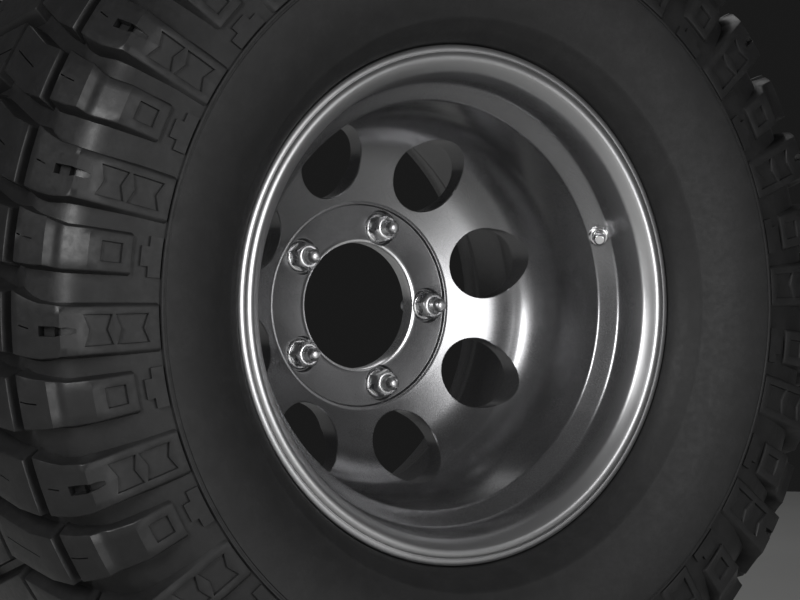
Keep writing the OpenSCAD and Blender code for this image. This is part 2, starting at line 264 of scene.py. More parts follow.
def bar(name, sides, radius, back, front, place):
    """A straight bar along the spin axis between two heights, about an axis at place = (x, z)."""
    start_clean()
    bpy.ops.mesh.primitive_cylinder_add(
        vertices=sides, radius=radius * MM, depth=(front - back) * MM,
        location=(place[0], -(back + front) / 2 * MM, place[1]), rotation=(math.pi / 2, 0, 0))
    bpy.ops.object.transform_apply(location=True, rotation=True, scale=True)
    return named(name)


def modified(obj, kind, **settings):
    """Adds a modifier with these settings to obj and applies it."""
    pick(obj)
    bpy.ops.object.modifier_add(type=kind)
    modifier = obj.modifiers[-1]
    for key, value in settings.items():
        setattr(modifier, key, value)
    bpy.ops.object.modifier_apply(modifier=modifier.name)


def bevelled(obj, width, segments=2, angle=SHARP_ANGLE):
    """Rounds the edges of obj that are sharper than this angle in degrees."""
    modified(obj, "BEVEL", width=width, segments=segments, limit_method="ANGLE", angle_limit=math.radians(angle))


def cut(obj, cutters, operation="DIFFERENCE"):
    """Cuts the joined cutters out of obj, or keeps what obj shares with them."""
    pick(cutters[0])
    for cutter in cutters:
        cutter.select_set(True)
    if len(cutters) > 1:
        bpy.ops.object.join()
    modified(obj, "BOOLEAN", object=cutters[0], operation=operation, solver="EXACT")
    bpy.data.objects.remove(cutters[0])


def placed(obj, matrix):
    """Moves obj by matrix and leaves its place in its mesh."""
    pick(obj)
    obj.matrix_world = matrix @ obj.matrix_world
    bpy.ops.object.transform_apply(location=True, rotation=True, scale=True)


def copied(obj, name, matrix):
    """A copy of obj with its own mesh, moved by matrix."""
    pick(obj)
    bpy.ops.object.duplicate()
    twin = named(name)
    placed(twin, matrix)
    return twin


def height_at(line, r):
    """The height of a section line at the radius r."""
    for (r0, h0), (r1, h1) in zip(line, line[1:]):
        if min(r0, r1) <= r <= max(r0, r1) and r0 != r1:
            return h0 + (h1 - h0) * (r - r0) / (r1 - r0)
    raise ValueError(f"no height at radius {r}")


def smooth(obj, angle):
    """Shades obj smooth, apart from the edges that are sharper than this angle in degrees."""
    pick(obj)
    bpy.ops.object.shade_smooth_by_angle(angle=math.radians(angle), keep_sharp_edges=True)


def finished(obj, material, slot, body, *nodes):
    """Gives a finished piece its material, its body and the CAD nodes that it stands for."""
    obj.data.materials.clear()
    obj.data.materials.append(material)
    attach(obj, body)
    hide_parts(*nodes)


def polar(angle, radius):
    """(x, z) in metres at an angle over the +X side, seen from the front."""
    a = math.radians(angle)
    return radius * MM * math.cos(a), radius * MM * math.sin(a)


def about_axis(degrees):
    """The turn about the spin axis that raises an angle over the +X side by this many degrees."""
    return Matrix.Rotation(-math.radians(degrees), 4, "Y")


def about_place(place, degrees):
    """The same turn about an axis at place = (x, z)."""
    centre = Matrix.Translation((place[0], 0, place[1]))
    return centre @ about_axis(degrees) @ centre.inverted()


# Finishes

class Finish:
    """A Principled material whose detail nodes read the piece's own Object coordinates."""

    def __init__(self, name, colour, **sockets):
        self.material = bpy.data.materials.new(name)
        self.material.use_nodes = True
        self.nodes = self.material.node_tree.nodes
        self.links = self.material.node_tree.links
        self.shader = self.nodes["Principled BSDF"]
        self.shader.inputs["Base Color"].default_value = (*colour, 1)
        for key, value in sockets.items():
            self.shader.inputs[key.replace("_", " ")].default_value = value
        self.place = self.nodes.new("ShaderNodeTexCoord").outputs["Object"]
        self.height = None

    def noise(self, scale, detail=3.0, roughness=0.55, stretch=None):
        """Clouds with about this many to the metre, stretched along the axes if asked."""
        place = self.place
        if stretch:
            mapping = self.nodes.new("ShaderNodeMapping")
            mapping.inputs["Scale"].default_value = stretch
            self.links.new(place, mapping.inputs["Vector"])
            place = mapping.outputs["Vector"]
        noise = self.nodes.new("ShaderNodeTexNoise")
        noise.inputs["Scale"].default_value = scale
        noise.inputs["Detail"].default_value = detail
        noise.inputs["Roughness"].default_value = roughness
        self.links.new(place, noise.inputs["Vector"])
        return noise.outputs["Fac"]

    def spread(self, value, low, high, start=0.35, end=0.65):
        """Maps value from start..end to low..high."""
        node = self.nodes.new("ShaderNodeMapRange")
        for key, number in zip(("From Min", "From Max", "To Min", "To Max"), (start, end, low, high)):
            node.inputs[key].default_value = number
        self.links.new(value, node.inputs["Value"])
        return node.outputs["Result"]

    def math(self, operation, a, b=None):
        """One Math node, fed with numbers or with the outputs of other nodes."""
        node = self.nodes.new("ShaderNodeMath")
        node.operation = operation
        for i, value in enumerate((a, b)):
            if isinstance(value, (int, float)):
                node.inputs[i].default_value = value
            elif value is not None:
                self.links.new(value, node.inputs[i])
        return node.outputs[0]

    def radius(self):
        """Distance from the spin axis, in metres."""
        split = self.nodes.new("ShaderNodeSeparateXYZ")
        self.links.new(self.place, split.inputs[0])
        squares = [self.math("POWER", split.outputs[axis], 2) for axis in ("X", "Z")]
        return self.math("SQRT", self.math("ADD", *squares))

    def ring(self, radius, half):
        """One at this distance from the spin axis, and none beyond half the width on either side."""
        away = self.math("ABSOLUTE", self.math("SUBTRACT", self.radius(), radius))
        return self.spread(away, 1.0, 0.0, half * 0.7, half)

    def blend(self, amount, first, second):
        """The first colour where amount is none, and the second where it is one."""
        node = self.nodes.new("ShaderNodeMix")
        node.data_type = "RGBA"
        self.links.new(amount, node.inputs["Factor"])
        for socket, value in ((node.inputs["A"], first), (node.inputs["B"], second)):
            if isinstance(value, tuple):
                socket.default_value = (*value, 1)
            else:
                self.links.new(value, socket)
        return node.outputs["Result"]

    def mottled(self, colour, scale, detail, shade):
        """A colour with clouds in which it is multiplied by shade."""
        clouds = self.spread(self.noise(scale, detail), 0.0, 1.0)
        return self.blend(clouds, tuple(colour), tuple(c * shade for c in colour))

    def bump(self, value, distance, strength=1.0):
        """Adds a relief of this height in metres over the reliefs before it."""
        node = self.nodes.new("ShaderNodeBump")
        node.inputs["Distance"].default_value = distance
        node.inputs["Strength"].default_value = strength
        self.links.new(value, node.inputs["Height"])
        if self.height:
            self.links.new(self.height, node.inputs["Normal"])
        self.height = node.outputs["Normal"]
        self.links.new(self.height, self.shader.inputs["Normal"])

    def to(self, key, value):
        """Feeds one socket of the shader."""
        self.links.new(value, self.shader.inputs[key])


def grey(level):
    """A grey with a trace of blue."""
    return (level, level, level * 1.01)


def casting_finish(settings):
    """Satin anthracite coat with a fine metallic grain, brighter on the turned lip, and with a painted highlight on
    the turned edge round the bore.
    """
    f = Finish("casting_coat", settings.colour, Metallic=0.9, Coat_Weight=0.12, Coat_Roughness=0.2)
    lip = f.spread(f.radius(), 0.0, 1.0, 0.182, 0.1875)
    body = f.mottled(settings.colour, 7, 2, 0.86)
    bright = f.blend(lip, body, tuple(settings.lip_colour))
    # The thin ring round the bore is painted far lighter than the coat: partly the bare metal of its turned edge,
    # partly a painted highlight along that edge.
    f.to("Base Color", f.blend(f.ring((BORE_R + 1) * MM, 0.0015), bright, tuple(settings.bore_highlight_colour)))
    grain = f.spread(f.noise(2600, 2), -0.03, 0.03)
    coat = f.spread(f.noise(11, 3), settings.roughness - 0.025, settings.roughness + 0.035)
    f.to("Roughness", f.math("ADD", f.math("ADD", coat, grain), f.math("MULTIPLY", lip, 0.07)))
    f.bump(f.noise(3200, 2), 0.00001)
    f.bump(f.noise(260, 2), 0.00002, 0.5)
    return f.material


def tyre_finish(settings):
    """Moulded black rubber: a fine skin, faint mould flow, duller dusty places, and a matt sidewall."""
    f = Finish("tyre_rubber", settings.colour, Specular_IOR_Level=0.22)
    dusty = tuple(c * 1.35 + 0.002 for c in settings.colour)
    patches = f.math("MULTIPLY", f.spread(f.noise(60, 5), 0.1, 0.9), f.spread(f.noise(320, 3), 0.3, 1.0))
    f.to("Base Color", f.blend(patches, tuple(settings.colour), dusty))
    skin = f.spread(f.noise(180, 5), settings.roughness - 0.03, settings.roughness + 0.05)
    f.to("Roughness", f.math("ADD", skin, f.spread(f.radius(), settings.sidewall, 0.0, 0.332, 0.352)))
    f.bump(f.noise(2400, 3), 0.00005, 0.6)
    f.bump(f.noise(420, 3), 0.00012, 0.4)
    return f.material


def plated_finish(name, colour, roughness):
    """Bright plating with faint smears and a fine orange peel."""
    f = Finish(name, colour, Metallic=1.0)
    f.to("Base Color", f.mottled(colour, 90, 3, 0.8))
    f.to("Roughness", f.spread(f.noise(140, 4), roughness * 0.7, roughness * 1.6))
    f.bump(f.noise(900, 2), 0.00001)
    return f.material


def machined_finish(name, colour, roughness):
    """Turned metal: fine tool marks in rings, and a little tarnish."""
    f = Finish(name, colour, Metallic=1.0)
    f.to("Base Color", f.mottled(colour, 150, 4, 0.7))
    f.to("Roughness", f.spread(f.noise(500, 3), roughness - 0.06, roughness + 0.12))
    f.bump(f.noise(700, 2, 0.5, (0.3, 6.0, 0.3)), 0.00002, 0.6)
    return f.material


def seal_finish(name, colour):
    """Matt black sealing rubber with a fine skin."""
    f = Finish(name, colour, Specular_IOR_Level=0.35)
    f.to("Base Color", f.mottled(colour, 300, 3, 1.6))
    f.to("Roughness", f.spread(f.noise(400, 3), 0.62, 0.8))
    f.bump(f.noise(2600, 2), 0.00003, 0.6)
    return f.material


# Sizes and colours that a user would change

def colour_property(name, description, default):
    """A colour that the sidebar shows as a swatch."""
    return FloatVectorProperty(
        name=name, description=description, default=default, min=0, max=1, size=3, subtype="COLOR")


class CastingSettings(PropertyGroup):
    steps: IntProperty(name="Steps", description="Faces round the casting", default=360, min=96, max=480)
    fine: FloatProperty(
        name="Fine step", description="Longest face across the dish",
        default=0.0034, min=0.002, max=0.01, unit="LENGTH")
    window_edge: FloatProperty(
        name="Window edge", description="Chamfer of the window edges",
        default=0.0008, min=0.0002, max=0.001, unit="LENGTH")
    roughness: FloatProperty(
        name="Roughness", description="Roughness of the satin coat",
        default=0.26, min=0.1, max=0.6)
    colour: colour_property("Coat", "Colour of the dish and barrel", (0.2, 0.2, 0.205))
    lip_colour: colour_property("Lip", "Colour of the turned lip", (0.34, 0.34, 0.345))
    # Partly the bare metal of the bore's turned edge, partly a painted highlight along it.
    bore_highlight_colour: colour_property("Bore", "Colour of the turned edge of the bore", (0.75, 0.75, 0.76))


class TyreSettings(PropertyGroup):
    lug_edge: FloatProperty(
        name="Lug edge", description="Rounding of the edges of the lugs",
        default=0.0011, min=0.0004, max=0.002, unit="LENGTH")
    recess: FloatProperty(
        name="Recess depth", description="Depth of the recesses in the sides of the lugs",
        default=0.0028, min=0.001, max=0.004, unit="LENGTH")
    sipe: FloatProperty(
        name="Sipe depth", description="Depth of the slits in the tread",
        default=0.005, min=0.002, max=0.008, unit="LENGTH")
    roughness: FloatProperty(name="Roughness", description="Roughness of the rubber", default=0.36, min=0.2, max=0.9)
    sidewall: FloatProperty(
        name="Matt sidewall", description="How much rougher the sidewall is than the tread",
        default=0.2, min=0, max=0.5)
    colour: colour_property("Rubber", "Colour of the rubber", (0.009, 0.009, 0.0092))


class FastenerSettings(PropertyGroup):
    thread: FloatProperty(
        name="Thread pitch", description="Distance between the turns of the stud's thread",
        default=0.0015, min=0.001, max=0.002, unit="LENGTH")
    chrome: colour_property("Chrome", "Colour of the nuts and washers", (0.8, 0.8, 0.81))
    steel: colour_property("Stud", "Colour of the studs", (0.62, 0.62, 0.63))


class ValveSettings(PropertyGroup):
    ribs: IntProperty(name="Cap ribs", description="Ribs round the cap's skirt", default=24, min=12, max=36)
    rib_depth: FloatProperty(
        name="Rib depth", description="Depth of the grooves between the cap's ribs",
        default=0.00028, min=0.0001, max=0.0004, unit="LENGTH")
    chrome: colour_property("Chrome", "Colour of the valve and its cap", (0.78, 0.78, 0.79))
    brass: colour_property("Brass", "Colour of the core and its pin", (0.72, 0.6, 0.34))
    rubber: colour_property("Seals", "Colour of the seals", (0.028, 0.028, 0.028))


class StageSettings(PropertyGroup):
    floor: colour_property("Floor", "Colour of the floor", (0.58, 0.58, 0.57))
    backdrop: colour_property("Backdrop", "Colour of the room behind the wheel", (0.01, 0.01, 0.01))
    front_power: FloatProperty(
        name="Front lamp", description="Power of the large lamp in front of the wheel",
        default=22.0, min=1, max=600, subtype="POWER")
    side_power: FloatProperty(
        name="Side lamp", description="Power of the tall lamp on the tread's side",
        default=64.0, min=1, max=600, subtype="POWER")
    rear_power: FloatProperty(
        name="Rear lamp", description="Power of the wide lamp above and behind the wheel",
        default=7.0, min=0, max=600, subtype="POWER")
    room: FloatProperty(name="Room light", description="Brightness of the room around", default=0.045, min=0, max=1)


class WheelSettings(PropertyGroup):
    casting: PointerProperty(type=CastingSettings)
    tyre: PointerProperty(type=TyreSettings)
    fasteners: PointerProperty(type=FastenerSettings)
    valve: PointerProperty(type=ValveSettings)
    stage: PointerProperty(type=StageSettings)


# The valve's own place on the ramp of the rim

LAID_OVER = Matrix(((1, 0, 0, 0), (0, 0, -1, 0), (0, 1, 0, 0), (0, 0, 0, 1)))


def valve_place():
    """Takes a piece that is turned about Y at the origin to the valve's axis."""
    stands = (
        LAID_OVER
        @ Matrix.Rotation(math.radians(VALVE_ANGLE), 4, "Z")
        @ Matrix.Translation((VALVE_R * MM, 0, VALVE_H * MM))
        @ Matrix.Rotation(-math.radians(RAMP_ANGLE), 4, "Y")
    )
    return stands @ LAID_OVER.inverted()


# Casting

FLANGE_CURVE = [(LIP_R - 8.6, FLANGE_H), (LIP_R - 6.5, LIP_H - 9.6), (LIP_R - 2.5, LIP_H - 7.6)]


def casting_front(fine):
    """The front face, from the bore out over the dish, barrel, ramp and seat to the stepped lip."""
    slope, draft = math.radians(DISH_SLOPE), math.radians(DRAFT)
    turn_h = DISH_H + (TURN_R - PAD_R) * math.tan(slope)
    end_r = WELL_IN_R - 1.1
    bend = (end_r - TURN_R) / (math.cos(draft) - math.sin(slope))
    centre = (TURN_R - bend * math.sin(slope), turn_h + bend * math.cos(slope))
    pad = [(BORE_R, PAD_H - 2.0), (BORE_R + 0.6, PAD_H - 0.6), (BORE_R + 2.0, PAD_H)]
    pad += eased([(BORE_R + 5, PAD_H), (PAD_R - 1.2, PAD_H), (PAD_R - 0.6, DISH_H + 0.7), (PAD_R + 0.6, DISH_H + 0.75),
                  (PAD_R + 2.1, DISH_H + 0.6), (PAD_R + 7, DISH_H + 7 * math.tan(slope))], 0.8)
    dish = dense([pad[-1], (TURN_R, turn_h)], fine)[1:]
    turn = []
    for r, h in arc(centre, bend, DISH_SLOPE - 90, -DRAFT, 28)[1:]:
        # The foot of the barrel is a little hollow, with an inner edge that is sharper than its outer one
        step = min(1.0, max(0.0, (r - HOLLOW_R[0]) / 3.5))
        sink = HOLLOW_DEPTH * step * step * (3 - 2 * step) * min(1.0, max(0.0, (HOLLOW_R[1] - r) / 8))
        turn.append((r + sink * 0.6, h - sink * 0.8))
    ramp_in_h = RAMP_END[1] - (RAMP_END[0] - WELL_IN_R) * math.tan(math.radians(RAMP_ANGLE))
    band = eased([turn[-1], (WELL_IN_R, ramp_in_h), RAMP_END, SEAT_END], 2.4, 4)[1:]
    # A soft corner over the seat, a wide bead, a fine groove and an outer bead with a tight outer edge
    outer = (
        arc((LIP_R - 10.04, LIP_H - 7.0), 7.0, 116, 54, 10)
        + [(LIP_R - 5.75, LIP_H - 2.2), (LIP_R - 5.35, LIP_H - 2.2)]
        + arc((LIP_R - 3.88, LIP_H - 7.2), 6.0, 102, 56, 8)
        + arc((LIP_R - 1.2, LIP_H - 3.22), 1.2, 45, 0, 4)
        + [(LIP_R, LIP_H - 4.1)]
    )
    seat = eased([SEAT_END, (LIP_R - 21.4, LIP_H - 8.2), (LIP_R - 16.9, LIP_H - 3.7), outer[0]], 2.2, 5)[1:-1]
    return pad + dish + turn + dense(band, 7) + seat + outer


def casting_back(fine):
    """The rear face of the dish, from the rear barrel's pocket in to the hub pad."""
    slope = math.radians(BACK_SLOPE)
    start_r = POCKET_R - POCKET_BEND * math.sin(slope)
    pocket_h = BACK_H + (start_r - BACK_R) * math.tan(slope) - POCKET_BEND * math.cos(slope)
    pocket = arc((POCKET_R, pocket_h), POCKET_BEND, 0, 90 + BACK_SLOPE, 8)
    back = dense([pocket[-1], (BACK_R, BACK_H)], fine)[1:]
    hub_pad = dense([(BACK_R, BACK_H), (BORE_R + 2, BACK_H)], 4.5)[1:]
    return pocket + back + hub_pad


def casting_section(fine):
    """The whole closed section of the casting."""
    ramp = math.tan(math.radians(RAMP_ANGLE))
    bead_side = [BEAD_START, (BEAD_R, 107.5), (BEAD_R, FLANGE_H)] + FLANGE_CURVE + [(LIP_R, LIP_H - 5.5)]
    well_h = BEAD_START[1] - (BEAD_START[0] - WELL_R) * ramp
    rim_side = dense([(WELL_R, well_h), (WELL_R, -20), (WELL_R + 6, -40), (WELL_R + 9, -96)], 14)
    rear_lip = flipped(arc((LIP_R - 2.2, LIP_H - 3.4), 2.2, 120, 0, 5)) + [
        (LIP_R - 12, -LIP_H + 1.6), (LIP_R - 17.5, -LIP_H + 3.5), (LIP_R - 21.5, -LIP_H + 9)]
    rear_barrel = dense(eased([rear_lip[-1], (181.4, -106.5), (175, -92), (172, -42), (166.5, -34)], 2.5)[1:-1], 12)
    bore = [(BORE_R, BACK_H + 2), (BORE_R, -29.5)]
    return (casting_front(fine) + bead_side[::-1] + rim_side + flipped(bead_side[::-1])
            + rear_lip + rear_barrel + casting_back(fine) + bore)


class WHEEL_OT_casting(Operator):
    """Turns the casting from its section and cuts its windows, stud seats, stud holes and valve hole"""

    bl_idname = "wheel.casting"
    bl_label = "Casting"

    def execute(self, context):
        settings = context.scene.alloy_wheel.casting
        obj = turned("casting", casting_section(settings.fine * 1000), settings.steps)
        centres = [polar(WINDOW_ANGLE + i * 360 / WINDOWS, WINDOW_PITCH_R) for i in range(WINDOWS)]
        cutters = [bar("window", WINDOW_SIDES, WINDOW_R, -45, 135, centre) for centre in centres]
        seat = [(0, BACK_H - 1), (7, BACK_H - 1), (7, SEAT_H), (14.2, SEAT_H), (15, SEAT_H + 0.8),
                (15, PAD_H - 0.4), (15.4, PAD_H), (15.4, PAD_H + 4), (0, PAD_H + 4)]
        for i in range(STUDS):
            cutters.append(turned("seat", seat, 64, polar(i * 360 / STUDS, STUD_CIRCLE_R)))
        low, high = SEAL_TOP_H - 8, RING_FOOT_H + 8
        hole = [(0, low), (SPOT_FACE_R, low), (SPOT_FACE_R, SEAL_TOP_H), (VALVE_HOLE_R, SEAL_TOP_H),
                (VALVE_HOLE_R, RING_FOOT_H), (SPOT_FACE_R, RING_FOOT_H), (SPOT_FACE_R, high), (0, high)]
        cutters.append(turned("valve_hole", hole, 64))
        placed(cutters[-1], valve_place())
        cut(obj, cutters)
        cut(obj, self.window_edges(centres, settings.window_edge * 1000, settings.fine * 1000))
        smooth(obj, SHARP_ANGLE)
        finished(obj, casting_finish(settings), "casting", WHEEL, "wheel_casting")
        return {"FINISHED"}

    def window_edges(self, centres, size, fine):
        """Rings that cut a chamfer along the front and rear edges of the windows."""
        rings = []
        for surface, side in ((casting_front(fine), 1), (casting_back(fine), -1)):
            for x, z in centres:
                start_clean()
                bpy.ops.mesh.primitive_torus_add(
                    major_segments=WINDOW_SIDES, minor_segments=3, major_radius=1, minor_radius=0.1)
                ring = named("chamfer_ring")
                for k, vert in enumerate(ring.data.vertices):
                    turn = 2 * math.pi * (k // 3) / WINDOW_SIDES
                    vert.co = self.chamfer_corner(surface, side, (x / MM, z / MM), turn, size, k % 3)
                pick(ring)
                bpy.ops.object.mode_set(mode="EDIT")
                face_outwards()
                bpy.ops.object.mode_set(mode="OBJECT")
                rings.append(ring)
        return rings

    def chamfer_corner(self, surface, side, centre, turn, size, corner):
        """A corner of the ring's section: beyond the face, inside the window's wall, or in the air at the edge."""
        def point(radius):
            x, z = centre[0] + radius * math.cos(turn), centre[1] + radius * math.sin(turn)
            return Vector((x, z, side * height_at(surface, math.hypot(x, z))))
        edge = point(WINDOW_R)
        rise = point(WINDOW_R + 1).z - edge.z
        depth = size * min(1, max(-0.6, (EDGE_STEEP - rise) / EDGE_FADE))
        wall = edge - Vector((0, 0, depth))
        face = point(WINDOW_R + size) + Vector((0, 0, size - depth))
        over = (face - wall).normalized() * EDGE_OVERLAP
        inside = point(WINDOW_R - 0.7)
        air = Vector((inside.x, inside.y, max(edge.z, face.z) + 1.2))
        x, z, h = (face + over, wall - over, air)[corner]
        return Vector((x, -side * h, z)) * MM


# Tyre: one pitch with a short and a long lug is laid out flat, raised and rolled up.
# In the flat layout x counts the columns and y the rows. z is the height over the floor of the
# tread in millimetres, or 100 less the depth under the top of a lug.

COLUMNS = (-4.5, -2.6, -1.25, -0.07, 0.07, 1.25, 2.6, 4.5, 6.15, 7.2, 8.93, 9.07, 10.8, 11.85, 13.5)
LONG_COLUMN = 7.5

# Inside of the tyre from the middle of the tread to the bead's toe, then the bead
LINER = [(369, 0), (366, 60.5), (357, 113.5), (337, 141.5), (310, 153.5), (280, 157.5), (255, 148.5),
         (219.5, 129), (204.1, 110.5), (192.4, 103.5), (190.4, 107.5), (190.4, 126.7)]


def bulge(*angles):
    """Points on the bulge of the sidewall: 0 degrees is at the flange, and 90 at the ring line."""
    turns = [math.radians(angle) for angle in angles]
    return [(RING_R - BULGE_DEPTH * math.cos(a), BULGE_H + BULGE_WIDTH * math.sin(a)) for a in turns]


# From the flange over the bulge of the sidewall, with its rim rib, to the ring line
SIDEWALL = (
    [(r + 0.3, h - 0.3) for r, h in FLANGE_CURVE]
    + [(208.1, BULGE_H)]
    + bulge(10, 20, 29, 37)
    + [(226.6, 160.7), (228.0, 161.2)]
    + bulge(46, 54, 62, 70, 78, 85)
    + [(286.6, 175.4), (287.2, 174.4), (288.6, 174.4), (289.2, 175.4), (290.6, 175.3), (291.2, 172.6)]
)
# Floor of the tread from the ring line to the middle of the tread
FLOOR = [(292, 172.3), (301, 170.5), (306.5, 169.2), (313.5, 167.4), (321, 164.6), (328, 160.8), (335.5, 156.8),
         (342, 153.2), (348.5, 149.4), (353.5, 144.8), (357.5, 140.5), (361.5, 134.8), (364.5, 130.2), (367.8, 125.2),
         (370.5, 121), (372.2, 118), (373.4, 113.5), (377, 95), (380.5, 75), (383, 60), (384.5, 51), (385, 45),
         (386, 22), (386, 0)]
# Tops of the blocks beyond the shoulder
TREAD_BLOCKS = [(390, 119), (394, 95), (396.3, 75), (397.6, 60), (398.2, 51), (398.6, 45), (399.6, 22), (400, 0)]
# Tops of the two lugs, row by row. The short lug starts at the fourth row.
SHORT_TOP = [None] * 3 + [
    (313.5, 170.7), (321, 169.1), (328, 167.7), (335.5, 166.2), (345, 164.2), (352, 157.2), (358.2, 151),
    (362, 147.8), (366.5, 146.9), (372, 146.7), (377.5, 138.2), (382, 131.2), (385.4, 126)] + TREAD_BLOCKS
LONG_TOP = [
    (292, 175.1), (300, 173.3), (306.5, 172.1), (313.5, 170.7), (323, 168.7), (326, 168.1), (336, 166.1),
    (346, 164), (352, 162.7), (358.5, 161.1), (363.5, 159.8), (365.7, 156.4), (373, 145.1), (377.5, 138.2),
    (382, 131.2), (385.4, 126)] + TREAD_BLOCKS
# Rows of the short and of the long lug at which the top turns sharply
CREASES = ((7, 12), (10,))
# Sideways turn of the last rows of the tread, in degrees
SKEW = {12: 0.0, 13: -0.2, 14: -0.5, 15: -0.8, 16: -1.0, 17: -2.1,
        18: -3.4, 19: -4.4, 20: -4.9, 21: -4.8, 22: -3.9, 23: -3.0}
# Lean of the short and of the long lugs towards smaller angles, by row, in degrees
LEANS = ({0: -0.55, 9: -0.55, 12: -1.0, 15: -0.8, 17: 0.0}, {0: 0.15, 11: 0.0, 15: -0.4, 17: 0.0})
# How much wider than at the sharp turn the two lugs are, by row
WIDTHS = ({0: 0.95, 9: 0.98, 12: 1.04, 15: 1.16, 16: 1.13, 20: 1.13, 21: 1.3},
          {0: 1.06, 10: 1.0, 15: 1.2, 16: 1.13, 20: 1.13, 21: 1.3})
# How much wider a lug is where it meets the floor than at its top
FOOT_WIDTH = 1.14
# Row of the layout at which the tread starts, and the whole section without the lugs
FIRST = len(LINER) + len(SIDEWALL)
SURFACE = LINER + SIDEWALL + FLOOR


def at_row(table, row):
    """The value of a table {row: value} at a row, with straight lines between its entries."""
    rows = sorted(table)
    row = min(max(row, rows[0]), rows[-1])
    low = max(r for r in rows if r <= row)
    high = min(r for r in rows if r >= row)
    return table[low] + (table[high] - table[low]) * (row - low) / max(high - low, 1)


def along(table, place):
    """The value of a table at a place between its entries."""
    low = max(min(int(place), len(table) - 2), 0)
    return Vector(table[low]).lerp(Vector(table[low + 1]), place - low)


def outward(table, place):
    """The outward normal of a section line at a place along it."""
    low, high = max(place - 0.5, 0), min(place + 0.5, len(table) - 1)
    tangent = along(table, high) - along(table, low)
    return Vector((-tangent.y, tangent.x)).normalized()


def rolled_up(x, y, z):
    """Where a vertex of the flat layout lies on the tyre, in metres."""
    row = y - FIRST
    long_lug = x > LONG_COLUMN
    if z < 50:
        point = along(SURFACE, y) + outward(SURFACE, y) * z
    else:
        table = LONG_TOP if long_lug else SHORT_TOP
        filled = [p or table[3] for p in table]
        point = along(filled, row) - outward(filled, row) * (100 - z)
    low = min(int(x), len(COLUMNS) - 2)
    angle = COLUMNS[low] + (COLUMNS[low + 1] - COLUMNS[low]) * (x - low)
    middle = 9.0 if long_lug else 0.0
    reach = abs(angle - middle)
    if reach < 3 and row > -0.5:
        wide = at_row(WIDTHS[long_lug], row) * (1 if z > 50 else FOOT_WIDTH)
        if reach < 0.1 and long_lug and 7.5 < row < 12.5:
            # The two columns at the slit part for the V-shaped recess of the long lug
            wide = 3.4 if row < 8.5 else 6.2 if row < 10.5 else 8.0
        angle = middle + (angle - middle) * wide + at_row(LEANS[long_lug], row)
    # The liner's first row joins the back half as the tread's last row does, so it has the same turn
    skew = at_row(SKEW, max(SKEW) if y < 0.5 else row)
    a = math.radians(SHORT_LUG_ANGLE + angle + skew)
    return Vector((point.x * math.cos(a), -point.y, point.x * math.sin(a))) * MM


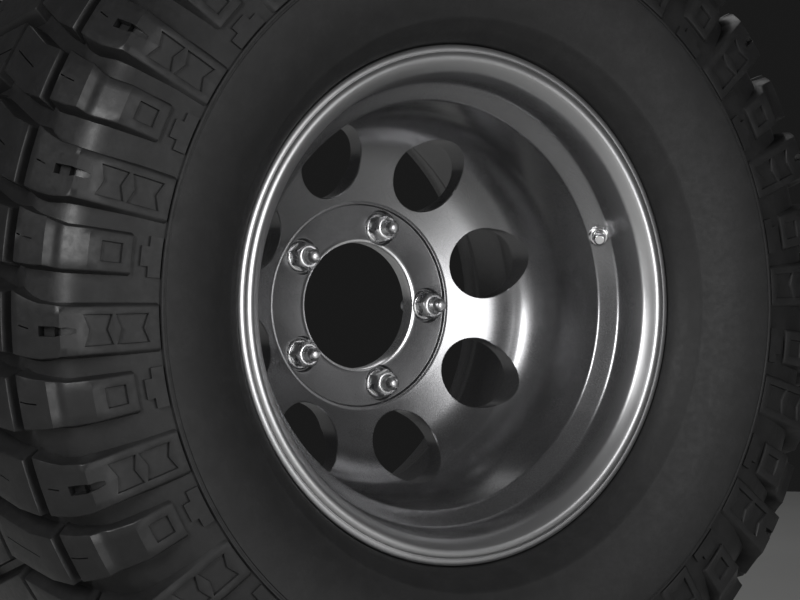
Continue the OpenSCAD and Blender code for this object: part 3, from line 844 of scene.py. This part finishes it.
class WHEEL_OT_tyre(Operator):
    """Lays out one pitch of the tyre, raises its lugs, rolls it up and copies it round both sides"""

    bl_idname = "wheel.tyre"
    bl_label = "Tyre"

    def cells(self, level, columns, rows):
        """A test for the faces of the layout at a level, between these columns and rows of the tread."""
        def inside(face):
            c = face.calc_center_median()
            return (abs(c.z - level) < 0.01 and columns[0] < c.x < columns[1]
                    and rows[0] < c.y - FIRST < rows[1] and abs(face.normal.z) > 0.9)
        return inside

    def raised(self, obj, height, level, *areas):
        """Raises or sinks areas = (columns, rows) of the layout."""
        tests = [self.cells(level, columns, rows) for columns, rows in areas]
        select_in_edit(obj, faces=lambda face: any(test(face) for test in tests))
        bpy.ops.mesh.extrude_region_move(TRANSFORM_OT_translate={"value": (0, 0, height)})

    def execute(self, context):
        settings = context.scene.alloy_wheel.tyre
        rows, columns = len(SURFACE), len(COLUMNS)
        start_clean()
        bpy.ops.mesh.primitive_grid_add(
            x_subdivisions=columns - 1, y_subdivisions=rows - 1, size=1, enter_editmode=True)
        obj = named("tyre_moulding")
        bpy.ops.mesh.select_mode(type="VERT")
        bpy.ops.transform.translate(value=(0.5, 0.5, 0))
        bpy.ops.transform.resize(value=(columns - 1, rows - 1, 1), center_override=(0, 0, 0))

        short, long = (1, 6), (8, 13)
        shoulder, outer, middle = (0, 15), (16, 20), (21, 23)
        self.raised(obj, 100, 0, (short, (3, 15)), (long, shoulder), (short, outer), (long, outer),
                    (short, middle), (long, middle))
        select_in_edit(obj, faces=lambda face: all(v.co.y > rows - 1.001 for v in face.verts))
        bpy.ops.mesh.delete(type="ONLY_FACE")
        bpy.ops.mesh.select_all(action="SELECT")
        bpy.ops.mesh.delete_loose()
        select_in_edit(obj, edges=self.lug_edge)
        bpy.ops.mesh.mark_seam()
        select_in_edit(obj, edges=self.crease)
        bpy.ops.mesh.mark_sharp()
        recess, sipe = settings.recess * 1000, settings.sipe * 1000
        self.raised(obj, 2.6, 0, (short, (0, 1)), ((2, 5), (1, 2)))
        self.raised(obj, -recess, 100, ((2, 5), (4, 6)), ((9, 12), (1, 4)), ((9, 12), (5, 7)), ((10, 11), (8, 11)))
        select_in_edit(obj, edges=self.recess_edge)
        bpy.ops.mesh.mark_seam()
        for row, depth in ((8, -recess + 0.3), (10, 2.6), (11, 2.4)):
            select_in_edit(obj, verts=self.slit_end(row, 100 - recess, 0.01))
            bpy.ops.transform.translate(value=(0, 0, -depth))
        self.raised(obj, -sipe - 2, 100, ((10, 11), (11, 12)))
        self.raised(obj, -sipe, 100, ((3, 4), (13, 15)), ((3, 4), (17, 19)), ((10, 11), (17, 19)),
                    ((3, 4), (21, 22)), ((10, 11), (21, 22)), ((10, 11), (13, 14)))
        for row, shift in ((1, 0.55), (4, -0.4), (5, 0.35), (7, -0.4)):
            # The end of a recess of the long lug is pinched to a shallow V
            select_in_edit(obj, verts=self.slit_end(row, 100, 10))
            bpy.ops.transform.translate(value=(0, shift, 0))
        bm = bmesh.from_edit_mesh(obj.data)
        for vert in bm.verts:
            vert.co = rolled_up(*vert.co)
        bmesh.update_edit_mesh(obj.data)
        face_outwards()
        select_in_edit(obj, edges=lambda e: e.seam)
        bpy.ops.mesh.bevel(offset=settings.lug_edge, segments=2, affect="EDGES", clamp_overlap=False)
        bpy.ops.mesh.select_all(action="SELECT")
        bpy.ops.mesh.mark_seam(clear=True)
        self.repeated()
        bpy.ops.object.mode_set(mode="OBJECT")
        smooth(obj, 38)
        finished(obj, tyre_finish(settings), "tyre", WHEEL, "tyre")
        return {"FINISHED"}

    def lug_edge(self, edge):
        """True for the upper outline and the upright corners of a lug, away from the tyre's middle."""
        faces = edge.link_faces
        if len(faces) != 2:
            return False
        a, b = (v.co for v in edge.verts)
        if faces[0].normal.dot(faces[1].normal) > 0.5:
            return False
        return max(a.z, b.z) > 99

    def recess_edge(self, edge):
        """True for the outlines of the recesses in the sides of the lugs."""
        a, b = (v.co for v in edge.verts)
        low = min(v.co.z for face in edge.link_faces for v in face.verts)
        return min(a.z, b.z) > 99.9 and 90 < low < 99 and (a.y + b.y) / 2 - FIRST < 7.6

    def crease(self, edge):
        """True for the edges across the top of a lug where it turns sharply."""
        a, b = (v.co for v in edge.verts)
        if min(a.z, b.z) < 99 or abs(a.y - b.y) > 0.01:
            return False
        rows = CREASES[1 if min(a.x, b.x) > LONG_COLUMN else 0]
        return any(abs(a.y - FIRST - row) < 0.01 for row in rows)

    def slit_end(self, row, level, reach):
        """A test for the vertices of the long lug's two middle columns in a row, near a level."""
        def inside(vert):
            x, y, z = vert.co
            return 9.9 < x < 11.1 and abs(y - FIRST - row) < 0.01 and abs(z - level) < reach
        return inside

    def repeated(self):
        """Copies the pitch round the tyre, and then the whole side to the back."""
        bpy.ops.mesh.select_all(action="SELECT")
        step = 2 * math.pi / PITCHES
        bpy.ops.mesh.spin(steps=PITCHES - 1, angle=step * (PITCHES - 1), center=(0, 0, 0), axis=(0, 1, 0), dupli=True)
        weld(2e-5)
        bpy.ops.mesh.select_all(action="SELECT")
        bpy.ops.mesh.duplicate()
        bpy.ops.transform.rotate(value=math.pi, orient_axis="X", center_override=(0, 0, 0))
        weld(4e-5)
        face_outwards()


# Studs, washers and nuts: each is made once, at the first stud

FIRST_STUD = polar(0, STUD_CIRCLE_R)


def corner_radius(across_flats):
    """The distance from the axis of a hexagon to its corners."""
    return across_flats / 2 / math.cos(math.radians(30))


def hexagon(name, across_flats, base, top, place, turn):
    """A six-sided bar between two heights, turned about its own axis."""
    obj = bar(name, 6, corner_radius(across_flats), base, top, place)
    placed(obj, about_place(place, turn))
    return obj


def round_studs(first, name, material, slot, node, own_turn=0.0):
    """Copies what is at the first stud to the others, each with a further turn of its own, and finishes all."""
    for i in range(STUDS):
        place = about_axis(i * 360 / STUDS) @ about_place(FIRST_STUD, own_turn * i)
        obj = copied(first, f"{name}_{i + 1}", place) if i else first
        finished(obj, material, slot, WHEEL, f"{node}_{i + 1}")


class WHEEL_OT_studs(Operator):
    """Turns a stud with its threads and bullet nose, and copies it to the five holes"""

    bl_idname = "wheel.studs"
    bl_label = "Studs"

    def execute(self, context):
        settings = context.scene.alloy_wheel.fasteners
        pitch = settings.thread * 1000
        front = STUD_FRONT_R
        points = (
            [(0, -55.5), (STUD_R - 1.2, -55.5), (STUD_R - 0.2, -54.6)]
            + threaded(-54.2, -39.0, STUD_R - 0.02, STUD_R - 0.62, pitch)
            + [(STUD_R, -38.8), (STUD_R, -38.5), (front, -38.3), (front, -12.5)]
            + threaded(-12, -3.6, front - 0.02, front - 0.6, pitch)
            + arc((front - 5, -3.0), 5, 0, 84, 8)
            + [(0, 2.0)]
        )
        first = turned("stud_front_1", points, 48, FIRST_STUD, closed=False)
        smooth(first, 40)
        round_studs(first, "stud_front", machined_finish("stud_steel", settings.steel, 0.32), "stud_steel", "stud")
        return {"FINISHED"}


class WHEEL_OT_washers(Operator):
    """Turns a rounded washer and copies it to the five stud seats"""

    bl_idname = "wheel.washers"
    bl_label = "Washers"

    def execute(self, context):
        settings = context.scene.alloy_wheel.fasteners
        points = eased([(8, SEAT_H), (6.5, SEAT_H), (6.5, SEAT_H + 3), (11.4, SEAT_H + 3), (WASHER_R, SEAT_H + 2),
                        (WASHER_R, SEAT_H), (8, SEAT_H)], 0.45)[:-1]
        first = turned("plain_washer_1", points, 72, FIRST_STUD)
        smooth(first, 40)
        chrome = plated_finish("washer_chrome", settings.chrome, 0.22)
        round_studs(first, "plain_washer", chrome, "fastener_chrome", "washer")
        return {"FINISHED"}


class WHEEL_OT_nuts(Operator):
    """Makes a chamfered hexagon nut that is open at the front, and copies it to the studs, each turned its own way"""

    bl_idname = "wheel.nuts"
    bl_label = "Nuts"

    def execute(self, context):
        settings = context.scene.alloy_wheel.fasteners
        foot, top = NUT_BASE_H - 0.001, NUT_BASE_H + NUT_H
        core, outer = STUD_FRONT_R + 0.1, corner_radius(NUT_AF) + 0.1
        nut = hexagon("open_nut_1", NUT_AF, NUT_BASE_H, top, FIRST_STUD, NUT_TURN)
        body = [(core, foot), (NUT_AF / 2 - 0.3, foot), (outer, NUT_BASE_H + 1.3), (outer, top - 2.6)]
        body += eased([(outer, top - 2.6), (NUT_AF / 2 - 1.4, top - 0.15), (core + 1.2, top - 0.15)], 0.5)[1:-1]
        body += [(core + 1.2, top - 0.15), (core + 1.0, top - 0.35), (core, top - 1.2)]
        cut(nut, [turned("nut_body", body, 96, FIRST_STUD)], "INTERSECT")
        bevelled(nut, 0.0003)
        smooth(nut, 30)
        chrome = plated_finish("nut_chrome", settings.chrome, 0.26)
        round_studs(nut, "open_nut", chrome, "fastener_chrome", "nut", NUT_TURN_STEP)
        return {"FINISHED"}


class WHEEL_OT_valve(Operator):
    """Makes the valve body with its seal, washer and nut, and the core with its pin"""

    bl_idname = "wheel.valve"
    bl_label = "Valve"

    def execute(self, context):
        settings = context.scene.alloy_wheel.valve
        chrome = plated_finish("valve_chrome", settings.chrome, 0.1)
        brass = machined_finish("core_brass", settings.brass, 0.26)
        rubber = seal_finish("seal_rubber", settings.rubber)
        stem = (
            eased([(1.7, -10.7), (7.2, -10.7), (8.2, -9.7), (8.2, FOOT_TOP_H), (5.2, FOOT_TOP_H)], 0.4)
            + threaded(-2.5, 5.0, 5.18, 4.85, 0.8) + [(5.2, 5.5), (4.4, 5.6)]
            + threaded(5.9, 16.2, 3.9, 3.5, 0.85)
            + [(3.5, 16.6), (3.3, 17.3), (2.9, 17.3), (2.35, 16.8), (2.35, 0.5), (1.7, 0.5)]
        )
        sleeve = (
            [(0.85, 0.7), (1.9, 0.7), (2.1, 1.2), (2.1, 9)]
            + threaded(9.4, 15.2, 2.28, 2.05, 0.6)
            + [(2.2, 15.7), (1.5, 15.7), (1.5, 14.2), (0.85, 14.2)]
        )
        needle = [(0, -1.8), (1.2, -1.8), (1.4, -1.6), (1.4, 0.2), (1.2, 0.4), (0.75, 0.4),
                  (0.75, 16.3), (0.45, 16.7), (0, 16.7)]
        outline = [(5.3, 0.299), (7.3, 0.299), (8.8, 1.0), (8.8, 3.8), (7.0, 5.2), (5.8, 5.2), (5.3, 4.8)]
        body = turned("valve_stem", stem, 64)
        seal = turned("valve_grommet", flat_ring(6, 5.3, 8.2, FOOT_TOP_H, SEAL_TOP_H, 0.5), 64)
        washer = turned("valve_ring", flat_ring(6, 5.4, 8.2, RING_FOOT_H, 0.3, 0.25), 64)
        core = turned("core_sleeve", sleeve, 32)
        pin = turned("core_stem", needle, 24, closed=False)
        nut = hexagon("valve_hexagon", 15, 0.3, 5.3, (0, 0), 0)
        cut(nut, [turned("nut_body", outline, 72)], "INTERSECT")
        bevelled(nut, 0.0002)
        for obj, finish, slot, carrier, node in (
            (body, chrome, "valve_chrome", WHEEL, "valve_body"),
            (seal, rubber, "valve_rubber", WHEEL, "valve_seal"),
            (washer, chrome, "valve_chrome", WHEEL, "valve_washer"),
            (nut, chrome, "valve_chrome", WHEEL, "valve_nut"),
            (core, brass, "core_brass", WHEEL, "valve_core"),
            (pin, brass, "core_brass", "core_pin", "valve_core_pin"),
        ):
            placed(obj, valve_place())
            smooth(obj, 35)
            finished(obj, finish, slot, carrier, node)
        return {"FINISHED"}


class WHEEL_OT_valve_cap(Operator):
    """Turns the cap, presses the grooves between its ribs, and adds the seal inside it"""

    bl_idname = "wheel.valve_cap"
    bl_label = "Valve cap"

    def execute(self, context):
        settings = context.scene.alloy_wheel.valve
        skirt = eased([(4.2, 5.8), (4.7, 5.8), (5.2, 6.3), (5.2, 16.3), (4.6, 16.8), (4.6, 19.3),
                       (3.6, 20.3), (1.2, 20.3)], 0.25)
        cap = turned("cap_shell", skirt + [(0, 20.3), (0, 18.3), (4.2, 18.3)], settings.ribs * 2)
        pick(cap)
        bpy.ops.object.mode_set(mode="EDIT")

        def groove(face):
            """True for every second of the long faces round the skirt."""
            c = face.calc_center_median()
            turn = math.atan2(c.z, c.x) / (2 * math.pi) * settings.ribs * 2
            return face.calc_area() > 4e-6 and math.hypot(c.x, c.z) > 0.0049 and int(math.floor(turn)) % 2 == 0

        select_in_edit(cap, faces=groove)
        bpy.ops.mesh.inset(thickness=0.00006, depth=-settings.rib_depth, use_individual=True)
        bpy.ops.object.mode_set(mode="OBJECT")
        bevelled(cap, 0.00006, 1, 40)
        seal = turned("cap_ring", flat_ring(3, 1.95, 4.1, 17.4, 18.3, 0.3), 48)
        chrome = plated_finish("cap_chrome", settings.chrome, 0.09)
        rubber = seal_finish("cap_rubber", settings.rubber)
        for obj, finish, slot, node in (
            (cap, chrome, "valve_chrome", "valve_cap"),
            (seal, rubber, "valve_rubber", "valve_cap_seal"),
        ):
            placed(obj, valve_place())
            smooth(obj, 35)
            finished(obj, finish, slot, "valve_cap", node)
        return {"FINISHED"}


# Stage

class WHEEL_OT_stage(Operator):
    """Adds the pale floor, three soft lamps, the room's light and the camera"""

    bl_idname = "wheel.stage"
    bl_label = "Stage"

    def execute(self, context):
        settings = context.scene.alloy_wheel.stage
        start_clean()
        bpy.ops.mesh.primitive_circle_add(vertices=96, radius=FLOOR_R, fill_type="NGON", location=(0, 0, FLOOR_Z))
        bpy.ops.object.transform_apply(location=True, rotation=True, scale=True)
        floor = named("studio_floor")
        f = Finish("floor_paint", settings.floor, Roughness=0.75)
        f.to("Base Color", f.mottled(settings.floor, 3, 3, 0.96))
        floor.data.materials.append(f.material)

        self.lamp("front_softbox", (0.13, -2.0, 0.1), (0, 0, 0), (0.95, 0.8), settings.front_power)
        self.lamp("side_softbox", (-2.35, -1.3, 0.85), (-0.1, -0.1, 0), (0.5, 1.5), settings.side_power)
        self.lamp("rear_softbox", (0.8, 1.3, 1.9), (0, 0.1, 0), (1.2, 1.2), settings.rear_power)

        world = bpy.data.worlds.new("studio_room")
        world.use_nodes = True
        self.room_light(world.node_tree, settings)
        context.scene.world = world

        rotation = (math.radians(CAMERA_TILT), 0, math.radians(CAMERA_TURN))
        bpy.ops.object.camera_add(location=CAMERA_PLACE, rotation=rotation)
        camera = named("photo_camera")
        camera.data.lens = LENS_MM
        camera.data.sensor_width = 36
        camera.data.clip_start = 0.05
        context.scene.camera = camera
        context.scene.view_settings.view_transform = "Standard"
        return {"FINISHED"}

    def room_light(self, tree, settings):
        """Lights the wheel from all round, and shows a darker room behind it."""
        light = tree.nodes["Background"]
        light.inputs["Color"].default_value = (*grey(settings.room), 1)
        behind = tree.nodes.new("ShaderNodeBackground")
        behind.inputs["Color"].default_value = (*settings.backdrop, 1)
        path = tree.nodes.new("ShaderNodeLightPath")
        mix = tree.nodes.new("ShaderNodeMixShader")
        tree.links.new(path.outputs["Is Camera Ray"], mix.inputs["Fac"])
        tree.links.new(light.outputs[0], mix.inputs[1])
        tree.links.new(behind.outputs[0], mix.inputs[2])
        tree.links.new(mix.outputs[0], tree.nodes["World Output"].inputs["Surface"])

    def lamp(self, name, location, target, size, power):
        """A soft lamp of this width and height, aimed at the target."""
        start_clean()
        bpy.ops.object.light_add(type="AREA", location=location)
        lamp = named(name)
        lamp.data.shape = "RECTANGLE"
        lamp.data.size, lamp.data.size_y = size
        lamp.data.energy = power
        lamp.rotation_euler = (Vector(target) - lamp.location).to_track_quat("-Z", "Y").to_euler()


class WHEEL_PT_build(Panel):
    """Lists the pieces of the wheel and their settings"""

    bl_idname = "WHEEL_PT_build"
    bl_label = "Alloy wheel"
    bl_space_type = "VIEW_3D"
    bl_region_type = "UI"
    bl_category = "Wheel"

    def draw(self, context):
        settings = context.scene.alloy_wheel
        for group, operators in (
            (settings.casting, (WHEEL_OT_casting,)),
            (settings.tyre, (WHEEL_OT_tyre,)),
            (settings.fasteners, (WHEEL_OT_studs, WHEEL_OT_washers, WHEEL_OT_nuts)),
            (settings.valve, (WHEEL_OT_valve, WHEEL_OT_valve_cap)),
            (settings.stage, (WHEEL_OT_stage,)),
        ):
            box = self.layout.box()
            for name in group.__annotations__:
                box.prop(group, name)
            for operator in operators:
                box.operator(operator.bl_idname)


CLASSES = (
    CastingSettings, TyreSettings, FastenerSettings, ValveSettings, StageSettings, WheelSettings,
    WHEEL_OT_casting, WHEEL_OT_tyre, WHEEL_OT_studs, WHEEL_OT_washers, WHEEL_OT_nuts,
    WHEEL_OT_valve, WHEEL_OT_valve_cap, WHEEL_OT_stage, WHEEL_PT_build,
)


def register():
    for cls in CLASSES:
        bpy.utils.register_class(cls)
    bpy.types.Scene.alloy_wheel = PointerProperty(type=WheelSettings)


def unregister():
    del bpy.types.Scene.alloy_wheel
    for cls in reversed(CLASSES):
        bpy.utils.unregister_class(cls)


def main():
    register()
    bpy.ops.wheel.casting()
    bpy.ops.wheel.tyre()
    bpy.ops.wheel.studs()
    bpy.ops.wheel.washers()
    bpy.ops.wheel.nuts()
    bpy.ops.wheel.valve()
    bpy.ops.wheel.valve_cap()
    bpy.ops.wheel.stage()
    start_clean()


if __name__ == "__main__":
    main()
